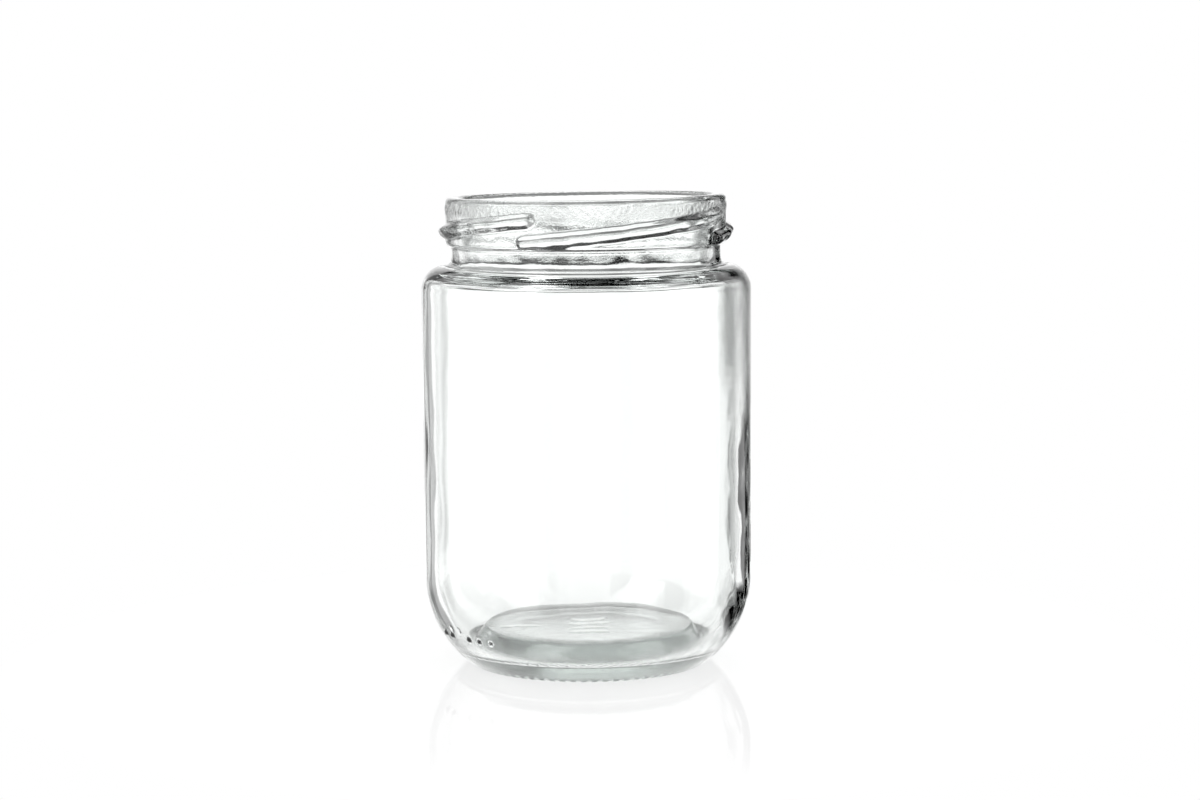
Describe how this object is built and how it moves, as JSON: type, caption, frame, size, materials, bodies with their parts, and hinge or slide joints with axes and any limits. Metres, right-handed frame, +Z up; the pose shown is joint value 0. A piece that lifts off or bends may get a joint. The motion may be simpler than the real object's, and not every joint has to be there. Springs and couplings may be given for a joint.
{
  "type": "twist-off glass jar",
  "caption": "Round clear glass jar with a wide twist-off mouth, interrupted thread lugs, a short neck, a rounded shoulder and heel, and a push-up base.",
  "frame": {"origin": "centre of the bearing ring that the jar stands on", "axes": "+Z up along the jar's axis, front at -Y, +X on the right"},
  "size_m": [0.0724, 0.0724, 0.103],
  "materials": {
    "glass": "clear flint glass, fire-polished, with a faint green tint in thick places"
  },
  "bodies": {
    "root": {"glass_jar": "glass"}
  },
  "joints": []
}
